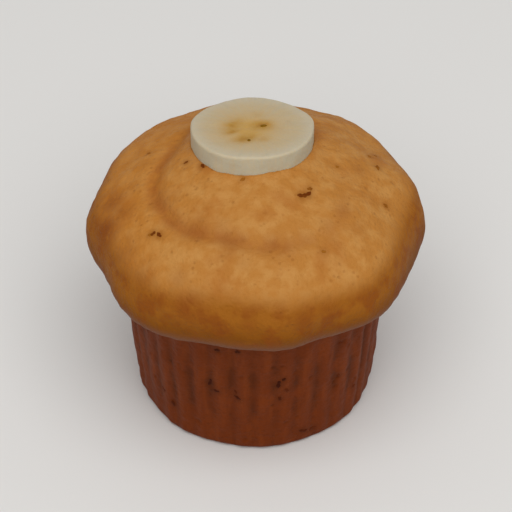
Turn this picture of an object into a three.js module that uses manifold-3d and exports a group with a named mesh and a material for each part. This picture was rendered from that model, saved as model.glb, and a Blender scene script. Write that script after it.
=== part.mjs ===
// A banana muffin: one baked cake, its domed cap spilling over a tapered stump that keeps the
// pleats of the paper case it was baked in, and a round of banana bedded in the crown.
// Millimetres, +Z up. The foot's flat face lies on z = 0 with its middle at the origin, and -Y is
// the side that faces the viewer. Angles go round +Z from +X, in degrees.
import * as THREE from "three";
import { mergeVertices } from "three/addons/utils/BufferGeometryUtils.js";
import Module from "manifold-3d";

const { cos, sin, exp, sqrt, PI, SQRT1_2 } = Math;
const { degToRad, lerp, smoothstep } = THREE.MathUtils;

// Stump, the part that stood in the paper case
const FOOT_RADIUS = 27.8;
const FOOT_ROUND = 2.0;
const NECK_RADIUS = 31.6;
const NECK_FILLET = 1.2;
const PLEATS = 36;
const PLEAT_PHASE = 269;
const PLEAT_DEPTH_FOOT = 0.15;
const PLEAT_DEPTH_NECK = 0.32;
const PLEAT_FADE = 3;

// Cap, which rose out of the case and spread over the tin. The rise and the rounds are the
// lengths of the curve's handles where the lip turns into the shoulder and the crown.
const LIP_RADIUS = 38.7;
const LIP_UNDERSIDE = 41.4;
const LIP_ROUND = 4.2;
const LIP_RISE = 4.5;
const SHOULDER_RADIUS = 34.2;
const SHOULDER_HEIGHT = 56.2;
const SHOULDER_SLOPE = 37;
const SHOULDER_ROUND = 4;
const CROWN_ROUND = 10;
const CROWN_FLAT = 12;
const CROWN_HEIGHT = 68.6;

// Unevenness of the bake: waves round the outline, each with its size relative to the radius,
// and the share of them that the stump follows
const OUTLINE_WAVES = [
  { waves: 8, size: 0.016, peak: 5 },
  { waves: 2, size: 0.007, peak: 12 },
  { waves: 3, size: 0.006, peak: 215 },
  { waves: 5, size: 0.004, peak: 300 },
];
const STUMP_SHARE = 0.35;
const LIP_SAG_WAVES = [
  { waves: 1, size: 0.5, peak: 95 },
  { waves: 3, size: 0.45, peak: 40 },
  { waves: 7, size: 0.25, peak: 10 },
];

// Ring-shaped crease where the crown rose a second time, deepest on its left side
const CREASE_RADIUS = 22.5;
const CREASE_WIDTH = 1.7;
const CREASE_DEPTH = 0.75;
const CREASE_SHALLOWEST = 0.15;
const CREASE_SIDE = 200;
const CREASE_WANDER = [
  { waves: 1, size: 1.6, peak: 209 },
  { waves: 2, size: 2.2, peak: 103 },
  { waves: 3, size: 2.0, peak: 81 },
];
const CROWN_LIFT = 0.5;

// Gentle swells of the crust, which push the cap's side outwards and the crown mostly upwards
const SWELL_COUNT = 9;
const SWELL_SIZE = 0.1;
const SWELL_LENGTH = 13;
const SWELL_SHIFT = 1.7;
const CROWN_PUSH = 0.4;
const POLE_FADE = 6;

// Round of banana, pressed a little into the crown and leaning back with it
const SLICE_RADIUS = 14.6;
const SLICE_THICKNESS = 5.3;
const SLICE_EDGE = 0.7;
const SLICE_CENTRE = [-0.7, 8.6];
const SLICE_TOP = 70.0;
const SLICE_TILT = 12;
const SLICE_WAVES = [
  { waves: 5, size: 0.012, peak: 20 },
  { waves: 2, size: 0.014, peak: 75 },
];
const BED_GAP = 0.3;

// How finely the surfaces are cut
const STEPS_ROUND = 144;
const SLICE_STEPS_ROUND = 60;
const FOOT_STEPS = 2;
const WALL_STEPS = 5;
const LIP_STEPS = 4;
const SHOULDER_STEPS = 4;
const CROWN_STEPS = 13;

// Sum of cosine waves round the axis at an angle in radians.
function wavesAt(list, angle) {
  return list.reduce(
    (sum, w) => sum + w.size * cos(w.waves * (angle - degToRad(w.peak))),
    0,
  );
}

// Closed surface of rings stacked from a first pole to a last one. pointAt(ring, angle) gives a
// point, and the angles run anticlockwise seen from above, so that the faces point outwards.
function ringSurface(rings, steps, pointAt) {
  const points = [pointAt(0, 0)];
  for (let ring = 1; ring < rings - 1; ring++)
    for (let step = 0; step < steps; step++)
      points.push(pointAt(ring, (2 * PI * step) / steps));
  points.push(pointAt(rings - 1, 0));
  const last = points.length - 1;
  const at = (ring, step) => 1 + (ring - 1) * steps + (step % steps);
  const faces = [];
  for (let step = 0; step < steps; step++) {
    faces.push(0, at(1, step + 1), at(1, step));
    faces.push(last, at(rings - 2, step), at(rings - 2, step + 1));
    for (let ring = 1; ring < rings - 2; ring++) {
      const [a, b] = [at(ring, step), at(ring, step + 1)];
      const [c, d] = [at(ring + 1, step + 1), at(ring + 1, step)];
      faces.push(a, b, c, a, c, d);
    }
  }
  const geometry = new THREE.BufferGeometry();
  geometry.setAttribute(
    "position",
    new THREE.Float32BufferAttribute(points.flat(), 3),
  );
  geometry.setIndex(faces);
  return geometry;
}

// Half section of the muffin as [radius, height] points, from the middle of the foot up the
// stump, round the lip and over the shoulder to the top of the crown.
function sectionPoints() {
  const v = (x, y) => new THREE.Vector2(x, y);
  const line = (a, b) => new THREE.LineCurve(a, b);
  const bend = (a, b, c) => new THREE.QuadraticBezierCurve(a, b, c);
  const sweep = (a, b, c, d) => new THREE.CubicBezierCurve(a, b, c, d);
  const taper = (NECK_RADIUS - FOOT_RADIUS) / LIP_UNDERSIDE;
  const wallAt = (height) => v(FOOT_RADIUS + taper * height, height);
  const footFlat = v(FOOT_RADIUS - FOOT_ROUND, 0);
  const wallStart = wallAt(FOOT_ROUND);
  const wallEnd = wallAt(LIP_UNDERSIDE - NECK_FILLET);
  const underStart = v(NECK_RADIUS + NECK_FILLET, LIP_UNDERSIDE);
  const underEnd = v(LIP_RADIUS - LIP_ROUND, LIP_UNDERSIDE);
  const lipSide = v(LIP_RADIUS, LIP_UNDERSIDE + LIP_ROUND);
  const lipHandle = v(LIP_RADIUS, lipSide.y + LIP_RISE);
  const slope = degToRad(SHOULDER_SLOPE);
  const shoulder = v(SHOULDER_RADIUS, SHOULDER_HEIGHT);
  const uphill = v(-cos(slope), sin(slope));
  const below = shoulder.clone().addScaledVector(uphill, -SHOULDER_ROUND);
  const above = shoulder.clone().addScaledVector(uphill, CROWN_ROUND);
  const crownHandle = v(CROWN_FLAT, CROWN_HEIGHT);
  const parts = [
    [line(v(0, 0), footFlat), 1],
    [bend(footFlat, wallAt(0), wallStart), FOOT_STEPS],
    [line(wallStart, wallEnd), WALL_STEPS],
    [bend(wallEnd, wallAt(LIP_UNDERSIDE), underStart), 1],
    [line(underStart, underEnd), 1],
    [bend(underEnd, v(LIP_RADIUS, LIP_UNDERSIDE), lipSide), LIP_STEPS],
    [sweep(lipSide, lipHandle, below, shoulder), SHOULDER_STEPS],
    [sweep(shoulder, above, crownHandle, v(0, CROWN_HEIGHT)), CROWN_STEPS],
  ];
  const points = [v(0, 0)];
  for (const [curve, steps] of parts)
    points.push(...curve.getPoints(steps).slice(1));
  return points.map((p) => [p.x, p.y]);
}

// Swells of the crust: waves laid across the solid in directions that turn by the golden angle,
// so that they never line up.
function swellAt(x, y, z) {
  const golden = PI * (3 - sqrt(5));
  let sum = 0;
  for (let k = 0; k < SWELL_COUNT; k++) {
    const turn = golden * k;
    const lean = 1 - (2 * k + 1) / SWELL_COUNT;
    const flat = sqrt(1 - lean * lean);
    const along = (x * cos(turn) + y * sin(turn)) * flat + z * lean;
    sum += cos((2 * PI * along) / (SWELL_LENGTH + k) + SWELL_SHIFT * k);
  }
  return SWELL_SIZE * sum;
}

// Height that the crease takes off the crown and the crown's lift inside it, at a radius and an
// angle in radians.
function crownRelief(radius, angle) {
  const middle = CREASE_RADIUS + wavesAt(CREASE_WANDER, angle);
  const toSide = (1 + cos(angle - degToRad(CREASE_SIDE))) / 2;
  const depth = CREASE_DEPTH * lerp(CREASE_SHALLOWEST, 1, toSide);
  const crease = depth * exp(-(((radius - middle) / CREASE_WIDTH) ** 2));
  return CROWN_LIFT * (1 - smoothstep(radius, 0, middle)) - crease;
}

// A point of the half section turned to an angle and made uneven, as the real cake is.
function muffinPoint([radius, height], angle) {
  const inCap = smoothstep(height, LIP_UNDERSIDE - PLEAT_FADE, LIP_UNDERSIDE);
  const inStump = smoothstep(height, 0, FOOT_ROUND) * (1 - inCap);
  const overhang = smoothstep(radius, NECK_RADIUS, LIP_RADIUS);
  const climb = height / LIP_UNDERSIDE;
  const pleatDepth = lerp(PLEAT_DEPTH_FOOT, PLEAT_DEPTH_NECK, climb);
  const pleat = cos(PLEATS * (angle - degToRad(PLEAT_PHASE)));
  const share = lerp(STUMP_SHARE, 1, inCap);
  let r = radius * (1 + share * wavesAt(OUTLINE_WAVES, angle));
  r -= inStump * pleatDepth * pleat;
  let z = height + inCap * overhang * wavesAt(LIP_SAG_WAVES, angle);
  z += inCap * (1 - overhang) * crownRelief(radius, angle);
  const swell = inCap * swellAt(r * cos(angle), r * sin(angle), z);
  const outward = lerp((CROWN_PUSH * radius) / NECK_RADIUS, 1, overhang);
  r += swell * outward * smoothstep(radius, 0, POLE_FADE);
  z += swell * (1 - overhang);
  return [r * cos(angle), r * sin(angle), z];
}

function muffinGeometry() {
  const section = sectionPoints();
  return ringSurface(section.length, STEPS_ROUND, (ring, angle) =>
    muffinPoint(section[ring], angle),
  );
}

// Disc of banana lying flat with the middle of its top at the origin, its rim rounded and its
// outline a little out of round. grow makes it larger all over, for cutting the bed.
function sliceGeometry(grow) {
  const rim = SLICE_RADIUS + grow;
  const low = -SLICE_THICKNESS - grow;
  const top = grow;
  const halfway = SLICE_EDGE * (1 - SQRT1_2);
  const section = [
    [0, low],
    [rim - SLICE_EDGE, low],
    [rim - halfway, low + halfway],
    [rim, low + SLICE_EDGE],
    [rim, top - SLICE_EDGE],
    [rim - halfway, top - halfway],
    [rim - SLICE_EDGE, top],
    [0, top],
  ];
  return ringSurface(section.length, SLICE_STEPS_ROUND, (ring, angle) => {
    const [radius, height] = section[ring];
    const r = radius * (1 + wavesAt(SLICE_WAVES, angle));
    return [r * cos(angle), r * sin(angle), height];
  });
}

// Leans the slice back with the crown and puts it in its place.
function placeSlice(geometry) {
  geometry.rotateX(degToRad(-SLICE_TILT));
  geometry.translate(...SLICE_CENTRE, SLICE_TOP);
  return geometry;
}

const wasm = await Module();
wasm.setup();

function solidOf(geometry) {
  const merged = mergeVertices(geometry);
  return new wasm.Manifold(
    new wasm.Mesh({
      numProp: 3,
      vertProperties: merged.attributes.position.array,
      triVerts: new Uint32Array(merged.index.array),
    }),
  );
}

function geometryOf(solid) {
  const { vertProperties, triVerts } = solid.getMesh();
  const geometry = new THREE.BufferGeometry();
  geometry.setAttribute(
    "position",
    new THREE.BufferAttribute(vertProperties, 3),
  );
  geometry.setIndex(new THREE.BufferAttribute(triVerts, 1));
  geometry.computeVertexNormals();
  return geometry;
}

function namedMesh(name, geometry, material) {
  const mesh = new THREE.Mesh(geometry, material);
  mesh.name = name;
  return mesh;
}

const crust = new THREE.MeshStandardMaterial({
  color: 0xb97f42,
  roughness: 0.62,
  metalness: 0,
});
const banana = new THREE.MeshStandardMaterial({
  color: 0xd8c9a2,
  roughness: 0.45,
  metalness: 0,
});

const bed = placeSlice(sliceGeometry(BED_GAP));
const cake = solidOf(muffinGeometry()).subtract(solidOf(bed));
const slice = placeSlice(sliceGeometry(0));

const group = new THREE.Group();
group.add(namedMesh("muffin", geometryOf(cake), crust));
group.add(namedMesh("banana_slice", slice, banana));

export default group;
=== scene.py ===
# A banana muffin with a round of banana on its crown. Lengths are millimetres until they go into
# a mesh, heights are above the foot, and angles are degrees round +Z from +X. -Y is the side that
# faces the viewer, and +X is on the viewer's right.
import bpy
import numpy as np
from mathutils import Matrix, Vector


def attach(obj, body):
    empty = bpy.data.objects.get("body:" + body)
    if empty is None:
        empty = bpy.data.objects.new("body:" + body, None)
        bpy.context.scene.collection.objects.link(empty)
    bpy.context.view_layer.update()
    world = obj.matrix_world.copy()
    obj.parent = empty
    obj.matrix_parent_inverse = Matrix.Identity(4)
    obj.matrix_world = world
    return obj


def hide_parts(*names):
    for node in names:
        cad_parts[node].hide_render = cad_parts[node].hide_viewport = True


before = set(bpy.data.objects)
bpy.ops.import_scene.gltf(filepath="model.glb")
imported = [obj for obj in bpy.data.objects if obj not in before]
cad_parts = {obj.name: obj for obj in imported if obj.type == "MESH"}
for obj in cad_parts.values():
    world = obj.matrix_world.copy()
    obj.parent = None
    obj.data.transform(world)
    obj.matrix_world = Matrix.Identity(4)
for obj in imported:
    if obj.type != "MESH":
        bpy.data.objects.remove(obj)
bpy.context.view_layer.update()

# The camera is a long lens that looks down on the muffin from the front. It comes first, because
# what shows on the crust is placed by where it lies in the picture, in pixels of its 512.
MM = 0.001
PICTURE, SENSOR, LENS = 512, 36.0, 253.8
CAMERA_ELEVATION, CAMERA_DISTANCE, CAMERA_AIM = 42.8, 855.0, np.array([0.17, 0, 37.14])
CAMERA_NEAREST, CAMERA_FARTHEST = 50, 20000
scene = bpy.context.scene


def look(thing, place, target):
    """Puts a camera or a lamp at a place and turns its -Z axis to the target, +Y kept upward."""
    thing.location = Vector(place) * MM
    thing.rotation_euler = (Vector(target) - Vector(place)).to_track_quat("-Z", "Y").to_euler()


elevation = np.radians(CAMERA_ELEVATION)
to_camera = np.array([0, -np.cos(elevation), np.sin(elevation)])
picture_right, picture_up = np.array([1, 0, 0]), np.array([0, np.sin(elevation), np.cos(elevation)])
camera_place = CAMERA_AIM + CAMERA_DISTANCE * to_camera
camera = bpy.data.objects.new("camera", bpy.data.cameras.new("camera"))
camera.data.lens, camera.data.sensor_width = LENS, SENSOR
camera.data.clip_start, camera.data.clip_end = CAMERA_NEAREST * MM, CAMERA_FARTHEST * MM
scene.collection.objects.link(camera)
look(camera, camera_place, CAMERA_AIM)
scene.camera = camera


def in_picture(points):
    """Pixels across and down where points show: their offsets from the middle of the view, over
    their distance from the camera, times the lens in pixels."""
    apart = points - camera_place
    scale = LENS / SENSOR * PICTURE / -(apart @ to_camera)
    return PICTURE / 2 + scale * (apart @ picture_right), PICTURE / 2 - scale * (apart @ picture_up)


# The cake is one piece of baked batter. Its stump stood in a pleated paper case, and its cap
# rose out of the case, spread over the tin and set as a dome. The crust is one closed surface of
# rings, which climbs from the middle of the foot to the top of the crown.
FOOT_RADIUS, FOOT_ROUND = 27.8, 2.0
NECK_RADIUS, NECK_FILLET = 31.6, 1.2
PLEATS, PLEAT_PHASE, PLEAT_FADE = 36, 269, 3.0
PLEAT_DEPTH_FOOT, PLEAT_DEPTH_NECK, PLEAT_NICK = 0.15, 0.32, 0.10
PLEAT_UNEVEN = [(5, 0.25, 40), (11, 0.2, 100), (17, 0.15, 10)]
LIP_RADIUS, LIP_UNDERSIDE, LIP_ROUND, LIP_RISE = 38.7, 41.4, 4.2, 4.5
SHOULDER_RADIUS, SHOULDER_HEIGHT, SHOULDER_SLOPE, SHOULDER_ROUND = 34.2, 56.2, 37, 4.0
CROWN_ROUND, CROWN_FLAT, CROWN_HEIGHT, CROWN_LIFT = 10.0, 12.0, 68.6, 0.5
OUTLINE_WAVES = [(8, 0.016, 5), (2, 0.007, 12), (3, 0.006, 215), (5, 0.004, 300)]
STUMP_SHARE = 0.35
LIP_SAG_WAVES = [(1, 0.5, 95), (3, 0.45, 40), (7, 0.25, 10)]
CREASE_RADIUS, CREASE_WIDTH, CREASE_DEPTH = 22.5, 1.7, 0.75
CREASE_SHALLOWEST, CREASE_SIDE = 0.15, 200
CREASE_WANDER = [(1, 1.6, 209), (2, 2.2, 103), (3, 2.0, 81)]
SWELL_COUNT, SWELL_SIZE, SWELL_LENGTH, SWELL_SHIFT = 9, 0.1, 13, 1.7
CROWN_PUSH, POLE_FADE = 0.4, 6.0
COLUMNS = 480
FOOT_ROWS, WALL_ROWS, UNDER_ROWS, LIP_ROWS, SHOULDER_ROWS, CROWN_ROWS = 6, 66, 3, 15, 24, 80


def mix(a, b, share):
    """The value that lies that share of the way from a to b."""
    return a + (b - a) * share


def rise(value, low, high):
    """0 up to low, 1 from high on, and 3t² - 2t³ in between, where t is the share of the way."""
    t = np.clip((value - low) / (high - low), 0, 1)
    return t * t * (3 - 2 * t)


def bell(value, width):
    """A bell curve: e to the power of minus (value / width) squared."""
    return np.exp(-((value / width) ** 2))


def waves(angle, terms):
    """Sum of size · cos(count · (angle - peak)) over the terms (count, size, peak in degrees)."""
    return sum(size * np.cos(count * (angle - np.radians(peak))) for count, size, peak in terms)


def curve(steps, *handles):
    """Points along a Bezier curve without its first: neighbouring handles are mixed in pairs by
    the share of the way, and the results again, until one point is left for each share."""
    share = np.linspace(0, 1, steps + 1)[1:, None]
    points = [np.array(handle, float) for handle in handles]
    while len(points) > 1:
        points = [mix(a, b, share) for a, b in zip(points, points[1:])]
    return points[0]


def wall_point(height):
    """The stump's side at a height: a straight taper from the foot's radius to the neck's."""
    return mix(FOOT_RADIUS, NECK_RADIUS, height / LIP_UNDERSIDE), height


def cake_section():
    """Half section as rows of [radius, height]: straight lines and Bezier curves along the foot,
    up the stump, out under the lip, round it, over the shoulder and up to the crown's top."""
    foot_flat = (FOOT_RADIUS - FOOT_ROUND, 0)
    wall_end = wall_point(LIP_UNDERSIDE - NECK_FILLET)
    under_start = (NECK_RADIUS + NECK_FILLET, LIP_UNDERSIDE)
    under_end = (LIP_RADIUS - LIP_ROUND, LIP_UNDERSIDE)
    lip_side = (LIP_RADIUS, LIP_UNDERSIDE + LIP_ROUND)
    lip_handle = (LIP_RADIUS, LIP_UNDERSIDE + LIP_ROUND + LIP_RISE)
    slope = np.radians(SHOULDER_SLOPE)
    uphill = np.array([-np.cos(slope), np.sin(slope)])
    shoulder = np.array([SHOULDER_RADIUS, SHOULDER_HEIGHT])
    below, above = shoulder - SHOULDER_ROUND * uphill, shoulder + CROWN_ROUND * uphill
    return np.vstack([
        [(0, 0)],
        curve(FOOT_ROWS, (0, 0), foot_flat),
        curve(FOOT_ROWS, foot_flat, wall_point(0), wall_point(FOOT_ROUND)),
        curve(WALL_ROWS, wall_point(FOOT_ROUND), wall_end),
        curve(UNDER_ROWS, wall_end, wall_point(LIP_UNDERSIDE), under_start),
        curve(UNDER_ROWS, under_start, under_end),
        curve(LIP_ROWS, under_end, (LIP_RADIUS, LIP_UNDERSIDE), lip_side),
        curve(SHOULDER_ROWS, lip_side, lip_handle, below, shoulder),
        curve(CROWN_ROWS, shoulder, above, (CROWN_FLAT, CROWN_HEIGHT), (0, CROWN_HEIGHT)),
    ])


def swells(x, y, z):
    """Gentle swells: cosine waves laid across the cake in directions that turn by the golden
    angle and lean from up to down, each a little longer than the last, summed."""
    total = 0
    for k in range(SWELL_COUNT):
        turn = np.pi * (3 - np.sqrt(5)) * k
        lean = 1 - (2 * k + 1) / SWELL_COUNT
        along = (x * np.cos(turn) + y * np.sin(turn)) * np.sqrt(1 - lean**2) + z * lean
        total = total + np.cos(2 * np.pi * along / (SWELL_LENGTH + k) + SWELL_SHIFT * k)
    return SWELL_SIZE * total


section = cake_section()
radius, height = section[:, :1], section[:, 1:]
angle = np.arange(COLUMNS) * (2 * np.pi / COLUMNS)
in_cap = rise(height, LIP_UNDERSIDE - PLEAT_FADE, LIP_UNDERSIDE)
in_stump = rise(height, 0, FOOT_ROUND) * (1 - in_cap)
overhang = rise(radius, NECK_RADIUS, LIP_RADIUS)

# Its broad shape: a wavy outline, the pleats as uneven cosines with a narrow nick in each hollow,
# a sagging lip, and the ring-shaped crease where the crown rose a second time.
pleat = np.cos(PLEATS * (angle - np.radians(PLEAT_PHASE)))
hollow_of_pleat = (1 + pleat) / 2
pleat_strength = 1 + waves(angle, PLEAT_UNEVEN)
pleat_depth = mix(PLEAT_DEPTH_FOOT, PLEAT_DEPTH_NECK, height / LIP_UNDERSIDE) * pleat_strength
out = radius * (1 + mix(STUMP_SHARE, 1, in_cap) * waves(angle, OUTLINE_WAVES))
out = out - in_stump * (pleat_depth * pleat + PLEAT_NICK * pleat_strength * hollow_of_pleat**6)
crease_middle = CREASE_RADIUS + waves(angle, CREASE_WANDER)
to_side = (1 + np.cos(angle - np.radians(CREASE_SIDE))) / 2
crease = mix(CREASE_SHALLOWEST, 1, to_side) * bell(radius - crease_middle, CREASE_WIDTH)
lift = CROWN_LIFT * (1 - rise(radius, 0, crease_middle))
up = height + in_cap * overhang * waves(angle, LIP_SAG_WAVES)
up = up + in_cap * (1 - overhang) * (lift - CREASE_DEPTH * crease)
swell = in_cap * swells(out * np.cos(angle), out * np.sin(angle), up)
push = mix(CROWN_PUSH * radius / NECK_RADIUS, 1, overhang) * rise(radius, 0, POLE_FADE)
out, up = out + swell * push, up + swell * (1 - overhang)
cake_grid = np.stack([out * np.cos(angle), out * np.sin(angle), up], axis=-1)

# Its crust: soft lumps, finer crumb, and the small pits of bubbles that burst as it baked. The
# stump is rougher, where the case pulled crumbs away.
CAP_LUMPS = [(9.0, 0.24), (4.2, 0.15), (2.2, 0.11), (1.2, 0.06)]
STUMP_LUMPS = [(5.0, 0.14), (2.4, 0.12), (1.3, 0.08)]
CAP_PITS = {"spacing": 3.8, "wide": 0.85, "share": 0.24, "seed": 20}
STUMP_PITS = {"spacing": 2.8, "wide": 0.85, "share": 0.35, "seed": 30}
CAP_PIT_DEPTH, STUMP_PIT_DEPTH, PIT_SMALLEST, PIT_LARGEST = 0.30, 0.40, 0.6, 1.3
CAP_LUMPS_SEED, STUMP_LUMPS_SEED = 1, 8


def random_value(cell, seed):
    """A number from 0 to 1 for each cell of whole numbers: its coordinates times large odd
    numbers, summed, with the high bits folded onto the low ones twice."""
    total = cell[..., 0] * 374761393 + cell[..., 1] * 668265263 + cell[..., 2] * 1442695041
    folded = (total + seed * 974634777) & 0xFFFFFFFF
    folded = ((folded ^ (folded >> 13)) * 1274126177) & 0xFFFFFFFF
    return ((folded ^ (folded >> 16)) & 0xFFFF) / 0xFFFF


def noise(points, length, seed):
    """A smooth random field from -1 to 1: random values on the corners of cubes of that length,
    mixed by eased shares of the way between the corners."""
    cell = np.floor(points / length).astype(np.int64)
    share = rise(points / length - cell, 0, 1)
    total = 0
    for corner in np.ndindex(2, 2, 2):
        weight = np.prod(np.where(corner, share, 1 - share), axis=-1)
        total = total + weight * random_value(cell + np.array(corner), seed)
    return 2 * total - 1


def layers(points, parts, seed):
    """Noise fields of several lengths, each times its own size, summed."""
    return sum(size * noise(points, length, seed + k) for k, (length, size) in enumerate(parts))


def hollows(points, spacing, wide, share, seed):
    """Round hollows: each cube of that spacing holds one random point, a share of the points
    are hollows, and the depth falls from 1 at such a point to 0 at its own radius, which is a
    random share of the one given."""
    cell = np.floor(points / spacing).astype(np.int64)
    deepest = 0
    for step in np.ndindex(3, 3, 3):
        near = cell + np.array(step) - 1
        jitter = np.stack([random_value(near, seed + axis) for axis in range(3)], axis=-1)
        distance = np.linalg.norm(points - spacing * (near + jitter), axis=-1)
        chosen = random_value(near, seed + 3) < share
        own = wide * mix(PIT_SMALLEST, PIT_LARGEST, random_value(near, seed + 4))
        deepest = np.maximum(deepest, chosen * (1 - rise(distance, 0, own)))
    return deepest


def normals(grid):
    """Outward directions: the cross product of the steps to the next column and the next row."""
    across = np.roll(grid, -1, axis=1) - np.roll(grid, 1, axis=1)
    direction = np.cross(across, np.gradient(grid, axis=0))
    return direction / np.maximum(np.linalg.norm(direction, axis=-1, keepdims=True), 1e-12)


cap_pits, stump_pits = hollows(cake_grid, **CAP_PITS), hollows(cake_grid, **STUMP_PITS)
cap_relief = layers(cake_grid, CAP_LUMPS, CAP_LUMPS_SEED) - CAP_PIT_DEPTH * cap_pits
stump_relief = layers(cake_grid, STUMP_LUMPS, STUMP_LUMPS_SEED) - STUMP_PIT_DEPTH * stump_pits
relief = mix(stump_relief * rise(height, 0, FOOT_ROUND), cap_relief, in_cap)
cake_grid = cake_grid + (relief * rise(radius, 0, POLE_FADE))[..., None] * normals(cake_grid)

# Its bed for the banana: the crust is pressed down flat under the round, and swells a little
# where it meets the round's side.
SLICE_RADIUS, SLICE_THICKNESS, SLICE_EDGE = 14.6, 5.3, 0.7
SLICE_CENTRE, SLICE_TILT = (-0.7, 8.6, 70.0), 12
SLICE_WAVES = [(5, 0.012, 20), (2, 0.014, 75)]
BED_GAP, BED_SLOPE, COLLAR_HEIGHT, COLLAR_WIDTH = 0.3, 0.9, 0.35, 1.6

tilt = np.radians(SLICE_TILT)
slice_axes = np.array([[1, 0, 0], [0, np.cos(tilt), -np.sin(tilt)], [0, np.sin(tilt), np.cos(tilt)]])
in_slice = (cake_grid - SLICE_CENTRE) @ slice_axes.T
slice_edge = SLICE_RADIUS * (1 + waves(np.arctan2(in_slice[..., 1], in_slice[..., 0]), SLICE_WAVES))
outside = np.hypot(in_slice[..., 0], in_slice[..., 1]) - slice_edge
outside = np.where(in_cap * (1 - overhang) > 0.5, outside, np.inf)
in_slice[..., 2] += COLLAR_HEIGHT * bell(outside, COLLAR_WIDTH)
pressed = np.minimum(in_slice[..., 2], -SLICE_THICKNESS - BED_GAP)
in_slice[..., 2] = mix(pressed, in_slice[..., 2], rise(outside, -BED_SLOPE, 0))
cake_grid = in_slice @ slice_axes + SLICE_CENTRE

# Its flecks are threads of banana that baked dark. Those in view are listed one by one: pixels
# across and down, length in millimetres, slant in the picture, and how dark they are. A seeded
# draw spreads more over the hidden side.
CAP_FLECKS = [
    (149.5, 153.4, 1.1, 0, 0.3), (186.2, 162.6, 1.2, 35, 0.7), (203.0, 166.0, 1.6, -60, 1.0),
    (243, 179.2, 1.3, 30, 0.2), (152.5, 233.7, 1.5, 35, 0.8), (159.2, 234.3, 1.7, -40, 0.9),
    (149.0, 235.5, 0.9, -30, 0.2), (336.7, 166.6, 0.9, 0, 0.1), (369.4, 156.2, 1.3, -65, 0.1),
    (375.7, 156.3, 1.2, -60, 0.3), (377.4, 167.7, 2.2, -85, 0.4), (309.1, 188.2, 1.6, 5, 0.4),
    (301.8, 196.2, 2.2, -8, 0.8), (308.0, 195.0, 2.3, 20, 1.0), (385.5, 205.4, 1.5, -50, 0.4),
    (324, 251, 1.0, 0, 0.1),
]
STUMP_FLECKS = [
    (217, 350.4, 1.7, 0, 0.7), (237.5, 351.8, 1.8, 5, 0.7), (211, 343.2, 1.0, 0, 0.3),
    (210.4, 382.0, 2.6, 70, 1.0), (216.6, 390.7, 1.7, -20, 0.8), (238, 397.6, 2.1, -35, 0.7),
    (163.4, 388.8, 1.4, -60, 0.3), (173.6, 402.4, 1.7, -70, 0.5), (278.8, 384.6, 2.6, 80, 1.1),
    (283.4, 379.2, 1.3, 40, 0.8), (287.0, 389.5, 1.5, -50, 0.3), (354, 385, 1.5, -80, 0.1),
    (303.8, 429.8, 2.2, 5, 0.5), (312.6, 427.2, 2.2, 30, 0.3), (280.4, 398.2, 1.5, -80, 0.5),
    (339.5, 343.6, 1.4, 10, 0.2), (236.3, 391.5, 1.4, -70, 0.4), (337.6, 375.5, 1.8, -80, 0.3),
]
CAP_HIDDEN, STUMP_HIDDEN, FLECK_SEED = 7, 15, 11
CAP_SPAN, STUMP_SPAN, BACK_SPAN, FLECK_SPAN = (44, 51), (4, 33), (20, 160), (1.1, 2.4)
STAIN_WIDTH, STAIN_GROWTH, STAIN_FAINTEST = 0.8, 0.25, 0.5
LEAST_FACING, ROWS_UNDER_LIP = 0.05, 4


def nearest_in_picture(across, down, rows):
    """Row and column of the crust's point that shows nearest to a pixel, among the points of
    those rows that face the camera."""
    point_across, point_down = in_picture(cake_grid[rows])
    distance = np.hypot(point_across - across, point_down - down)
    distance = np.where(crust_normals[rows] @ to_camera > LEAST_FACING, distance, np.inf)
    row, column = np.unravel_index(np.argmin(distance), distance.shape)
    return row + rows.start, column


def in_view(flecks, rows):
    """Places, lengths, darknesses and directions of listed flecks. A direction of the
    picture is slid along the line of sight until it lies along the crust."""
    places = np.array([nearest_in_picture(fleck[0], fleck[1], rows) for fleck in flecks])
    length, slant, dark = np.array(flecks)[:, 2:].T
    slant = np.radians(slant)[:, None]
    direction = np.cos(slant) * picture_right + np.sin(slant) * picture_up
    normal = crust_normals[tuple(places.T)]
    lean = np.sum(direction * normal, axis=1, keepdims=True) / (normal @ to_camera)[:, None]
    return places, length, dark, direction - lean * to_camera


def at_back(count, span, rows):
    """The same for flecks round the back: random angles, and the rows whose heights come nearest
    to random ones."""
    row = np.argmin(np.abs(section[rows, 1] - draw.uniform(*span, (count, 1))), axis=1) + rows.start
    column = (draw.uniform(*BACK_SPAN, count) / 360 * COLUMNS).astype(int)
    direction = draw.normal(size=(count, 3))
    normal = crust_normals[row, column]
    direction -= np.sum(direction * normal, axis=1, keepdims=True) * normal
    length, dark = draw.uniform(*FLECK_SPAN, count), draw.random(count)
    return np.stack([row, column], axis=1), length, dark, direction


draw = np.random.default_rng(FLECK_SEED)
crust_normals = normals(cake_grid)
wall_start, lip_row = 2 * FOOT_ROWS, int(np.argmax(section[:, 0]))
wall_rows = slice(wall_start, wall_start + WALL_ROWS)
cap_rows = slice(lip_row - ROWS_UNDER_LIP, len(section) - 1)
groups = [
    in_view(CAP_FLECKS, cap_rows), in_view(STUMP_FLECKS, wall_rows),
    at_back(CAP_HIDDEN, CAP_SPAN, cap_rows), at_back(STUMP_HIDDEN, STUMP_SPAN, wall_rows),
]
fleck_place, fleck_length, fleck_dark, fleck_way = (np.concatenate(parts) for parts in zip(*groups))
fleck_way = fleck_way / np.linalg.norm(fleck_way, axis=1, keepdims=True)
stain = np.zeros(cake_grid.shape[:2])
for (row, column), length, dark in zip(fleck_place, fleck_length, fleck_dark):
    distance = np.linalg.norm(cake_grid - cake_grid[row, column], axis=-1)
    around = bell(distance, STAIN_WIDTH + STAIN_GROWTH * length)
    stain = np.maximum(stain, mix(STAIN_FAINTEST, 1, dark) * around)

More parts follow.
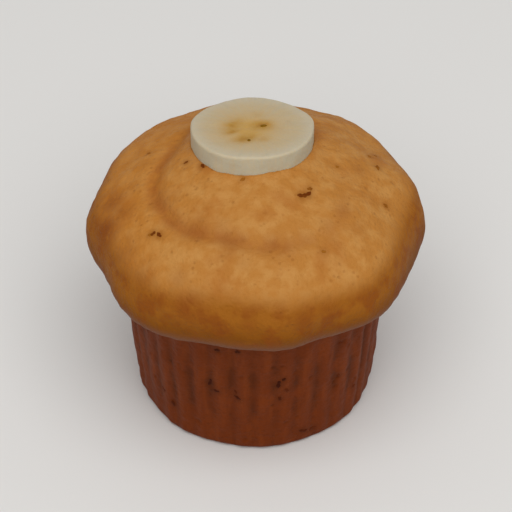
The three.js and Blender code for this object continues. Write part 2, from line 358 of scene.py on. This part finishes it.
# Its toasted patches caught more heat: pixels across and down, radius in millimetres, strength.
TOASTED_PATCHES = [
    (112, 203, 3.8, 0.6), (121, 212, 3.0, 0.5), (106, 231, 4.4, 0.8), (196, 229, 3.2, 0.25),
    (230, 243, 3.4, 0.35), (276, 246, 3.2, 0.28), (344, 212, 2.6, 0.3), (358, 170, 2.0, 0.3),
    (140, 278, 4.0, 0.3), (222, 226, 2.4, 0.2), (300, 236, 2.4, 0.12), (186, 309, 3.6, 0.7),
    (201, 314, 2.2, 0.6), (304, 321, 2.8, 0.6), (220, 330, 2.0, 0.6), (249, 326, 1.8, 0.4),
    (159, 300, 2.6, 0.4), (330, 310, 2.6, 0.4), (125, 250, 3.6, 0.35), (130, 187, 3.0, 0.15),
    (160, 203, 2.8, 0.22), (173, 218, 2.6, 0.22), (356, 228, 2.4, 0.2), (178, 279, 2.4, 0.25),
    (172, 197, 2.4, 0.18), (327, 223, 2.0, 0.2), (242, 263, 2.0, 0.15),
]
toast = np.zeros(cake_grid.shape[:2])
for across, down, wide, strength in TOASTED_PATCHES:
    middle = cake_grid[nearest_in_picture(across, down, cap_rows)]
    distance = np.linalg.norm(cake_grid - middle, axis=-1)
    toast = np.maximum(toast, strength * bell(distance, wide))


def closed_surfaces(name, grids, marks):
    """A mesh of several like grids of rings. Each ring is joined to the next by quads, and the
    first and last are drawn together into poles. Marks are named numbers for each grid point."""
    count, rows, columns = grids.shape[:3]
    ring = np.arange(columns)
    after = np.roll(ring, -1)
    start = 1 + columns * np.arange(rows - 3)[:, None]
    last = 1 + columns * (rows - 2)
    corners = [start + ring, start + after, start + columns + after, start + columns + ring]
    quads = np.stack(corners, axis=-1).reshape(-1, 4)
    bottom = np.stack([0 * ring, 1 + after, 1 + ring], axis=-1)
    top = np.stack([0 * ring + last, last - columns + ring, last - columns + after], axis=-1)
    first = (last + 1) * np.arange(count)[:, None, None]
    faces = [(first + part).reshape(-1, part.shape[1]).tolist() for part in (quads, bottom, top)]

    def listed(values):
        """The values of each grid in one row: one for each pole, and all of the rings between."""
        middle = values[:, 1:-1].reshape(count, -1, *values.shape[3:])
        return np.concatenate([values[:, :1, 0], middle, values[:, -1:, 0]], axis=1)

    mesh = bpy.data.meshes.new(name)
    mesh.from_pydata(listed(grids).reshape(-1, 3) * MM, [], sum(faces, []))
    for mark, values in marks.items():
        numbers = listed(np.broadcast_to(values, grids.shape[:3])).astype(np.float32)
        mesh.attributes.new(mark, "FLOAT", "POINT").data.foreach_set("value", numbers.ravel())
    mesh.shade_smooth()
    return mesh


def piece_of(mesh):
    """An object of the mesh, in the scene, on the muffin's one body."""
    piece = bpy.data.objects.new(mesh.name, mesh)
    scene.collection.objects.link(piece)
    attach(piece, "root")
    return piece


# Its marks tell the paint what lies where. The browned rim starts higher in front, behind and at
# the sides than between them, the cap's left is painted a warmer gold as painted shade, the streaks
# of painted shade in the hollows of the pleats fade towards foot and neck, and the crust close
# round the banana is damp and painted with contact shade.
RIM_TOP, RIM_DEPTH, RIM_WAVES = 57.1, 15, [(4, 0.9, 265)]
AMBER_SIDE, AMBER_START, AMBER_FULL = 165, 6, 30
STREAK_START, STREAK_END, STREAK_FAINTEST = (5, 18), (24, 36), 0.25
DUST_AND_SHEEN_HEIGHT, DUST_AND_SHEEN_WIDTH, DAMP_AND_SHADE_WIDTH = LIP_UNDERSIDE + 1.2, 2.0, 1.5
streak_middle = rise(height, *STREAK_START) * (1 - rise(height, *STREAK_END))
towards_amber = radius * np.cos(angle - np.radians(AMBER_SIDE))
cake_marks = {
    "stump": 1 - in_cap,
    "amber_shade": in_cap * rise(towards_amber, AMBER_START, AMBER_FULL),
    "streak": in_stump * hollow_of_pleat**2 * mix(STREAK_FAINTEST, 1, streak_middle),
    "rim": in_cap * np.clip((RIM_TOP + waves(angle, RIM_WAVES) - up) / RIM_DEPTH, 0, 1),
    "edge": bell(height - DUST_AND_SHEEN_HEIGHT, DUST_AND_SHEEN_WIDTH) * overhang,
    "crease": in_cap * crease,
    "toast": toast,
    "pits": mix(stump_pits, cap_pits, in_cap),
    "stain": stain,
    "damp_and_shade": bell(np.maximum(outside, 0), DAMP_AND_SHADE_WIDTH),
}
cake = piece_of(closed_surfaces("muffin_cake", cake_grid[None], cake_marks))
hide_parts("muffin")


class Wire:
    """One output of a shader's nodes. Sums, differences and products of wires and numbers add the
    Math nodes that work them out."""

    def __init__(self, tree, socket=None):
        self.tree, self.socket = tree, socket

    def node(self, kind, inputs, output=0, **settings):
        """Adds a node, makes its settings and then its inputs, each a value or a wire, and
        returns the wire of one output."""
        made = self.tree.nodes.new("ShaderNode" + kind)
        for name, value in settings.items():
            setattr(made, name, value)
        self.feed(made, inputs)
        return Wire(self.tree, made.outputs[output])

    def feed(self, made, inputs):
        """Links each wire to the input of that name, and sets the inputs that get a value."""
        for name, value in inputs.items():
            if isinstance(value, Wire):
                self.tree.links.new(value.socket, made.inputs[name])
            else:
                made.inputs[name].default_value = value

    def math(self, operation, *values):
        """A Math node of that operation on wires and numbers."""
        return self.node("Math", dict(enumerate(values)), operation=operation)

    def __add__(self, other):
        return self.math("ADD", self, other)

    def __sub__(self, other):
        return self.math("SUBTRACT", self, other)

    def __rsub__(self, other):
        return self.math("SUBTRACT", other, self)

    def __mul__(self, other):
        return self.math("MULTIPLY", self, other)

    __radd__, __rmul__ = __add__, __mul__


def paint(red, green, blue):
    """A colour of the screen, from 0 to 255, as the linear light that a shader takes."""
    levels = np.array([red, green, blue]) / 255
    return (*np.where(levels > 0.04045, ((levels + 0.055) / 1.055) ** 2.4, levels / 12.92), 1)


def carried(wire, name):
    """The number that the mesh carries under that name."""
    return wire.node("Attribute", {}, "Fac", attribute_name=name)


def eased(wire, low, high):
    """0 up to low, 1 from high on, with a smooth step between."""
    inputs = {"Value": wire, "From Min": low, "From Max": high}
    return wire.node("MapRange", inputs, interpolation_type="SMOOTHSTEP")


def place(wire, length, stretch=(1, 1, 1)):
    """Object coordinates counted in lengths of so many millimetres, times a stretch."""
    scale = tuple(factor / (length * MM) for factor in stretch)
    inputs = {0: wire.node("TexCoord", {}, "Object"), 1: scale}
    return wire.node("VectorMath", inputs, operation="MULTIPLY")


def grain(wire, length, detail=2.0, stretch=(1, 1, 1)):
    """Noise from 0 to 1 whose coarsest bumps are that many millimetres apart."""
    inputs = {"Vector": place(wire, length, stretch), "Scale": 1.0, "Detail": detail}
    return wire.node("TexNoise", inputs, "Fac")


def pores(wire, length, wide):
    """Pinholes that many millimetres apart: 1 close to the middle of each of a scatter of cells,
    0 from a distance on, which counts in the same lengths."""
    inputs = {"Vector": place(wire, length), "Scale": 1.0}
    return 1 - eased(wire.node("TexVoronoi", inputs, "Distance"), wide / 4, wide)


def mixed(share, low, high):
    """The colour that lies a wire's share of the way from one colour to another."""
    return share.node("Mix", {0: share, 6: low, 7: high}, 2, data_type="RGBA")


def new_material(name, piece):
    """The piece's material: its Principled shader, and a wire to start its maths from."""
    material = bpy.data.materials.new(name)
    material.use_nodes = True
    piece.data.materials.append(material)
    return material.node_tree.nodes["Principled BSDF"], Wire(material.node_tree)


# Its baked finish: gold with soft paler and browner patches and a left side painted warmer as
# painted shade, ochre brown with darker patches towards the lip, painted shade darker and redder in
# the crease, damp and painted contact shade round the banana, painted shade in its pits and
# pinholes, dark round the flecks, and a greyish line under the lip that is pale crumb where it sat
# on the tin and painted grazing sheen. The stump is dark red-brown, with painted shade in streaks
# along the hollows of its pleats and in its pits.
GOLD, PALE_GOLD = paint(183, 122, 54), paint(194, 138, 72)
AMBER_SHADE, TOAST = paint(192, 112, 0), paint(168, 101, 36)
CREASE_SHADE_BROWN, TOAST_BROWN, DAMP_AND_SHADE_BROWN = paint(154, 86, 28), paint(130, 64, 14), paint(178, 108, 38)
RIM_BROWN, LIP_BROWN, RIM_RED = paint(155, 93, 22), paint(125, 69, 0), paint(128, 58, 8)
STUMP_BROWN, STUMP_DARK, STUMP_LIGHT = paint(111, 46, 6), paint(76, 30, 0), paint(128, 57, 12)
STAIN_BROWN, PIT_SHADE_BROWN, DUST_AND_SHEEN = paint(124, 66, 6), paint(140, 80, 24), paint(122, 82, 64)
BROAD_GRAIN, PATCHY_GRAIN, CRUMB_GRAIN, FINE_GRAIN = 9, 3.4, 1.6, 0.8
STREAKY_GRAIN, STREAK_STRETCH = 1.6, (1, 1, 0.12)
PINHOLE_SPACING, PINHOLE_WIDTH, CRUMB_HEIGHT = 1.7, 0.3, 0.20

shader, wire = new_material("baked_crust", cake)
broad, patchy = grain(wire, BROAD_GRAIN, 3), grain(wire, PATCHY_GRAIN, 3)
fine = grain(wire, FINE_GRAIN, 3)
pinholes = pores(wire, PINHOLE_SPACING, PINHOLE_WIDTH) * eased(grain(wire, 5), 0.45, 0.6)
rim, stump, pits, stain = (carried(wire, name) for name in ("rim", "stump", "pits", "stain"))
colour = mixed(eased(patchy, 0.35, 0.7), GOLD, PALE_GOLD)
colour = mixed(eased(broad, 0.5, 0.72) * 0.6, colour, TOAST)
colour = mixed(eased(fine, 0.55, 0.8) * 0.25, colour, TOAST)
# Painted shade: the cap's left, which reflects less of the pale sky, is painted a warmer gold.
colour = mixed(carried(wire, "amber_shade") * 0.26, colour, AMBER_SHADE)
# Painted shade: the crease is painted darker and redder.
colour = mixed(carried(wire, "crease") * eased(patchy, 0.2, 0.6) * 0.7, colour, CREASE_SHADE_BROWN)
colour = mixed(eased(rim + patchy * 0.24 - 0.12, 0.0, 0.34), colour, RIM_BROWN)
colour = mixed(eased(rim + patchy * 0.2 - 0.1, 0.4, 0.88), colour, LIP_BROWN)
colour = mixed(eased(rim, 0.1, 0.4) * eased(grain(wire, 4, 2), 0.46, 0.68) * 0.5, colour, RIM_RED)
colour = mixed(carried(wire, "toast") * eased(patchy, 0.15, 0.5), colour, TOAST_BROWN)
# Round the banana the crust is damp and gets painted contact shade, darker and more orange.
colour = mixed(carried(wire, "damp_and_shade") * 0.25, colour, DAMP_AND_SHADE_BROWN)
# Painted shade: the pits and pinholes are painted darker inside.
colour = mixed(pits * 0.4 + pinholes * 0.3, colour, PIT_SHADE_BROWN)
# A greyish line along the lip's lower edge: pale crumb where it sat on the tin, and painted grazing
# sheen.
colour = mixed(carried(wire, "edge") * 0.8, colour, DUST_AND_SHEEN)
streaky = grain(wire, STREAKY_GRAIN, 3, STREAK_STRETCH)
stump_colour = mixed(eased(streaky, 0.4, 0.75) * 0.6, STUMP_BROWN, STUMP_LIGHT)
# Painted shade: streaks in the hollows of the pleats, and the pits, are painted darker; the fine
# grain's darker patches are the crust's own tone.
streak = carried(wire, "streak") * eased(grain(wire, 7), 0.3, 0.6)
darkened = streak * 0.7 + pits * 0.4 + eased(fine, 0.5, 0.75) * 0.3
stump_colour = mixed(darkened, stump_colour, STUMP_DARK)
colour = mixed(stump, colour, stump_colour)
colour = mixed(stain * (1 - stump) * 0.6, colour, STAIN_BROWN)
colour = mixed(stain * stump * 0.7, colour, STUMP_DARK)
crumb = (fine + grain(wire, CRUMB_GRAIN, 2) * 1.2 - pinholes * 0.5) * (1 - stump * 0.5)
bump = wire.node("Bump", {"Height": crumb, "Distance": CRUMB_HEIGHT * MM, "Strength": 1.0})
roughness = 0.68 - patchy * 0.16 - carried(wire, "damp_and_shade") * 0.15
wire.feed(shader, {"Base Color": colour, "Roughness": roughness, "Normal": bump,
                   "Specular IOR Level": 0.1})

# The flecks themselves are short threads, half sunk in the crust. Each is a tube whose section
# narrows to its ends and is pressed flat, bent a little along the surface. Short ones are slimmer.
FLECK_WIDTH, FLECK_PROUD, FLECK_BEND = 0.9, 0.07, 0.3
FLECK_LUMP, FLECK_LUMP_TURN, FLECK_LUMP_SHIFT = 0.25, 5, 20
FLECK_SLIMMEST, FLECK_GROWTH = 0.55, 0.2
FLECK_STEPS, FLECK_SIDES = 14, 8


def on_crust(grid, row, column):
    """The grid's value between its points: its four neighbours mixed by the shares of a row and
    of a column, which goes round."""
    low, left = np.floor(row).astype(int), np.floor(column).astype(int)
    down, across = (row - low)[..., None], (column - left)[..., None]
    near, far = left % COLUMNS, (left + 1) % COLUMNS
    return mix(mix(grid[low, near], grid[low, far], across),
               mix(grid[low + 1, near], grid[low + 1, far], across), down)


row, column = fleck_place[:, :1], fleck_place[:, 1:]
centre = cake_grid[row, column]
next_row = cake_grid[row + 1, column] - centre
next_column = cake_grid[row, (column + 1) % COLUMNS] - centre
along = np.linspace(-1, 1, FLECK_STEPS)
bend = draw.uniform(-FLECK_BEND, FLECK_BEND, (len(fleck_place), 1))
sideways = np.cross(crust_normals[row, column], fleck_way[:, None])
path = along[:, None] * fleck_way[:, None] + (bend * along**2)[..., None] * sideways
path = path * fleck_length[:, None, None] / 2
thread_row = row + np.sum(path * next_row, axis=-1) / np.sum(next_row**2, axis=-1)
thread_column = column + np.sum(path * next_column, axis=-1) / np.sum(next_column**2, axis=-1)
middle = on_crust(cake_grid, thread_row, thread_column)
outward = on_crust(crust_normals, thread_row, thread_column)
ahead = np.gradient(middle, axis=1)
sideways = np.cross(outward, ahead / np.linalg.norm(ahead, axis=-1, keepdims=True))
lumpy = np.sin(FLECK_LUMP_TURN * along + FLECK_LUMP_SHIFT * bend)
girth = np.sqrt(1 - along**2) * (1 + FLECK_LUMP * lumpy)
stoutness = np.minimum(1, FLECK_SLIMMEST + FLECK_GROWTH * fleck_length[:, None])
width = FLECK_WIDTH / 2 * stoutness * girth
turn = np.arange(FLECK_SIDES) * (2 * np.pi / FLECK_SIDES)
tubes = (middle[:, :, None] + sideways[:, :, None] * (width[..., None] * np.cos(turn))[..., None]
         + outward[:, :, None] * (FLECK_PROUD * girth[..., None] * np.sin(turn))[..., None])
fleck_marks = {
    "dark": fleck_dark[:, None, None],
    "stump": np.isin(fleck_place[:, 0], np.arange(wall_rows.start, wall_rows.stop))[:, None, None],
}
flecks = piece_of(closed_surfaces("banana_flecks", tubes, fleck_marks))

THREAD_DARK, THREAD_BROWN = paint(104, 46, 0), paint(156, 96, 24)
STUMP_THREAD_DARK, STUMP_THREAD_BROWN = paint(62, 18, 0), paint(98, 38, 2)
shader, wire = new_material("baked_thread", flecks)
dark = eased(carried(wire, "dark") + grain(wire, 1.1, 2) * 0.6 - 0.3, 0.0, 1.0)
stump_colour = mixed(dark, STUMP_THREAD_BROWN, STUMP_THREAD_DARK)
colour = mixed(carried(wire, "stump"), mixed(dark, THREAD_BROWN, THREAD_DARK), stump_colour)
wire.feed(shader, {"Base Color": colour, "Roughness": 0.7, "Specular IOR Level": 0.08})

# The round of banana, cut straight across the fruit and baked on the cake. Its cut face has a
# rim of paler flesh and a golden core, which has sunk a little and browned in three lobes.
SLICE_COLUMNS, SLICE_BASE_ROWS, SLICE_EDGE_ROWS, SLICE_SIDE_ROWS, SLICE_FACE_ROWS = 240, 8, 5, 18, 64
CORE_CENTRE, CORE_WIDTH, CORE_SUNK, LOBE_SUNK = (-0.9, -0.6), 6.6, 0.22, 0.18
FACE_LUMPS, EDGE_LUMPS = [(3.0, 0.06), (1.2, 0.03)], [(4.5, 0.14), (1.8, 0.07)]
FACE_LUMPS_SEED, EDGE_LUMPS_SEED, EDGE_LUMPS_REACH = 50, 60, 3
PALE_RIM_START, PALE_RIM_FULL, LOBE_SPREAD = 4.5, 0.3, 0.8
LOBES = [
    (-4.6, 0.8, 5.6, 3.3, 74, 0.8), (-4.7, -1.6, 3.2, 1.9, 40, 0.9), (2.2, 1.3, 3.8, 3.2, 5, 0.95),
    (-1.6, -5.0, 4.5, 2.8, 32, 0.95), (2.4, -5.4, 2.8, 2.6, 0, 0.45), (1.2, 6.1, 2.8, 2.6, 0, 0.35),
]


def browning(x, y):
    """The core and lobes at points of the cut face, from 0 to 1, and how deep they have sunk: a
    bell round the core's middle, and the greatest of the lobes' bells over an oval distance."""
    core = bell(np.hypot(x - CORE_CENTRE[0], y - CORE_CENTRE[1]), CORE_WIDTH)
    lobes = 0
    for lobe_x, lobe_y, long, wide, turned, strength in LOBES:
        way = np.radians(turned)
        ahead_of = (x - lobe_x) * np.cos(way) + (y - lobe_y) * np.sin(way)
        beside = (y - lobe_y) * np.cos(way) - (x - lobe_x) * np.sin(way)
        oval = np.hypot(ahead_of / long, beside / wide)
        lobes = np.maximum(lobes, strength * bell(oval, LOBE_SPREAD))
    return core, lobes, CORE_SUNK * core + LOBE_SUNK * lobes


flat, low = SLICE_RADIUS - SLICE_EDGE, -SLICE_THICKNESS
slice_section = np.vstack([
    [(0, low)],
    curve(SLICE_BASE_ROWS, (0, low), (flat, low)),
    curve(SLICE_EDGE_ROWS, (flat, low), (SLICE_RADIUS, low), (SLICE_RADIUS, low + SLICE_EDGE)),
    curve(SLICE_SIDE_ROWS, (SLICE_RADIUS, low + SLICE_EDGE), (SLICE_RADIUS, -SLICE_EDGE)),
    curve(SLICE_EDGE_ROWS, (SLICE_RADIUS, -SLICE_EDGE), (SLICE_RADIUS, 0), (flat, 0)),
    curve(SLICE_FACE_ROWS, (flat, 0), (0, 0)),
])
slice_turn = np.arange(SLICE_COLUMNS) * (2 * np.pi / SLICE_COLUMNS)
slice_out = slice_section[:, :1] * (1 + waves(slice_turn, SLICE_WAVES))
x, y = slice_out * np.cos(slice_turn), slice_out * np.sin(slice_turn)
slice_up = slice_section[:, 1:] + 0 * x
face = rise(slice_up, -SLICE_EDGE, 0)
core, lobes, sunk = browning(x, y)
unsunk = np.stack([x, y, slice_up], axis=-1)
slice_up = slice_up - face * (sunk - layers(unsunk, FACE_LUMPS, FACE_LUMPS_SEED))
near_edge = rise(slice_out, flat - EDGE_LUMPS_REACH, flat)
uneven = 1 + near_edge * layers(unsunk, EDGE_LUMPS, EDGE_LUMPS_SEED) / SLICE_RADIUS
slice_grid = np.stack([x * uneven, y * uneven, slice_up], axis=-1) @ slice_axes + SLICE_CENTRE
pale_rim = rise(slice_out, SLICE_RADIUS - PALE_RIM_START, SLICE_RADIUS - PALE_RIM_FULL)
slice_marks = {"face": face, "core": core * face, "lobes": lobes * face, "rim": pale_rim * face}
banana = piece_of(closed_surfaces("banana_round", slice_grid[None], slice_marks))
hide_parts("banana_slice")

FLESH, FLESH_PALE, SIDE_FLESH = paint(194, 174, 138), paint(197, 184, 157), paint(186, 176, 150)
CORE_GOLD, LOBE_BROWN, LOBE_DARK = paint(199, 157, 84), paint(181, 134, 50), paint(154, 105, 34)
SOFT_GRAIN, STRING_GRAIN, STRING_STRETCH = 2.4, 1.0, (1, 1, 0.15)
RAY_FINENESS, FLESH_HEIGHT = 14.0, 0.10

shader, wire = new_material("banana_flesh", banana)
soft, fine = grain(wire, SOFT_GRAIN, 3), grain(wire, FINE_GRAIN, 3)
strings = grain(wire, STRING_GRAIN, 2, STRING_STRETCH)
from_centre = wire.node("VectorMath", {0: place(wire, 1), 1: SLICE_CENTRE}, operation="SUBTRACT")
spoke = wire.node("VectorMath", {0: from_centre}, operation="NORMALIZE")
rays = wire.node("TexNoise", {"Vector": spoke, "Scale": RAY_FINENESS, "Detail": 2.0}, "Fac")
face_colour = mixed(carried(wire, "rim"), FLESH, FLESH_PALE)
face_colour = mixed(eased(rays, 0.45, 0.7) * 0.35, face_colour, SIDE_FLESH)
side_colour = mixed(eased(strings, 0.4, 0.7) * 0.5, SIDE_FLESH, FLESH)
colour = mixed(carried(wire, "face"), side_colour, face_colour)
colour = mixed(carried(wire, "core") * (soft * 0.6 + 0.75), colour, CORE_GOLD)
lobes = carried(wire, "lobes") * (soft * 0.8 + 0.6)
colour = mixed(eased(lobes, 0.0, 1.1), colour, LOBE_BROWN)
colour = mixed(eased(lobes, 0.7, 1.1) * 0.6, colour, LOBE_DARK)
uneven_flesh = soft + fine * 0.6 + rays * 0.5
bump = wire.node("Bump", {"Height": uneven_flesh, "Distance": FLESH_HEIGHT * MM, "Strength": 1.0})
roughness = 0.45 + fine * 0.15
wire.feed(shader, {"Base Color": colour, "Roughness": roughness, "Normal": bump,
                   "Specular IOR Level": 0.3, "Subsurface Weight": 0.2,
                   "Subsurface Scale": 2.0 * MM, "Subsurface Radius": (1.0, 0.7, 0.4)})

# The seeds are small brown ellipsoids bedded in the core's lobes: places across and back on the
# cut face, lengths, and the way they point.
SEEDS = [(2.65, 1.2, 1.7, 5), (-0.75, -5.95, 1.4, 88), (-4.3, -1.2, 0.5, 60)]
SEED_WIDTH, SEED_HEIGHT, SEED_SUNK, SEED_ROWS, SEED_COLUMNS = 0.65, 0.4, 0.08, 12, 16
seed_x, seed_y, seed_long, seed_turned = np.array(SEEDS).T[:, :, None, None]
seed_bed = -browning(seed_x, seed_y)[2] - SEED_SUNK
climb = np.linspace(-np.pi / 2, np.pi / 2, SEED_ROWS)[:, None]
spin = np.arange(SEED_COLUMNS) * (2 * np.pi / SEED_COLUMNS)
ahead_of = seed_long / 2 * np.cos(climb) * np.cos(spin)
beside = SEED_WIDTH * seed_long / 2 * np.cos(climb) * np.sin(spin)
lifted = SEED_HEIGHT * seed_long / 2 * np.sin(climb) + seed_bed + 0 * spin
way = np.radians(seed_turned)
seed_x = seed_x + ahead_of * np.cos(way) - beside * np.sin(way)
seed_y = seed_y + ahead_of * np.sin(way) + beside * np.cos(way)
seed_grids = np.stack([seed_x, seed_y, lifted], axis=-1) @ slice_axes + SLICE_CENTRE
seeds = piece_of(closed_surfaces("banana_seeds", seed_grids, {}))

SEED_BROWN, SEED_DARK = paint(146, 104, 12), paint(108, 72, 0)
shader, wire = new_material("seed_coat", seeds)
colour = mixed(grain(wire, 0.5, 2), SEED_BROWN, SEED_DARK)
wire.feed(shader, {"Base Color": colour, "Roughness": 0.5, "Specular IOR Level": 0.1})

# The floor is a wide pale matt sheet, which the muffin's foot stands on. It belongs to the stage
# and not to the muffin.
FLOOR_HALF, FLOOR_COLOUR = 4000, (0.80, 0.79, 0.77, 1)
corners = np.array([(-1, -1, 0), (1, -1, 0), (1, 1, 0), (-1, 1, 0)]) * FLOOR_HALF * MM
floor_mesh = bpy.data.meshes.new("floor")
floor_mesh.from_pydata(corners, [], [(0, 1, 2, 3)])
floor = bpy.data.objects.new("floor", floor_mesh)
scene.collection.objects.link(floor)
shader, wire = new_material("floor_paint", floor)
wire.feed(shader, {"Base Color": FLOOR_COLOUR, "Roughness": 0.8})

# The light is a pale sky all round and one broad soft lamp high in front.
SKY_COLOUR, SKY_STRENGTH = (1, 0.99, 0.98, 1), 0.42
LAMP_PLACE, LAMP_SIZE, LAMP_POWER = (60, -640, 1230), 1.4, 13.9
scene.view_settings.view_transform = "Standard"
scene.world = bpy.data.worlds.new("sky")
scene.world.use_nodes = True
sky = scene.world.node_tree.nodes["Background"]
sky.inputs["Color"].default_value = SKY_COLOUR
sky.inputs["Strength"].default_value = SKY_STRENGTH
lamp = bpy.data.objects.new("lamp", bpy.data.lights.new("lamp", "AREA"))
lamp.data.size, lamp.data.energy = LAMP_SIZE, LAMP_POWER
scene.collection.objects.link(lamp)
look(lamp, LAMP_PLACE, CAMERA_AIM)
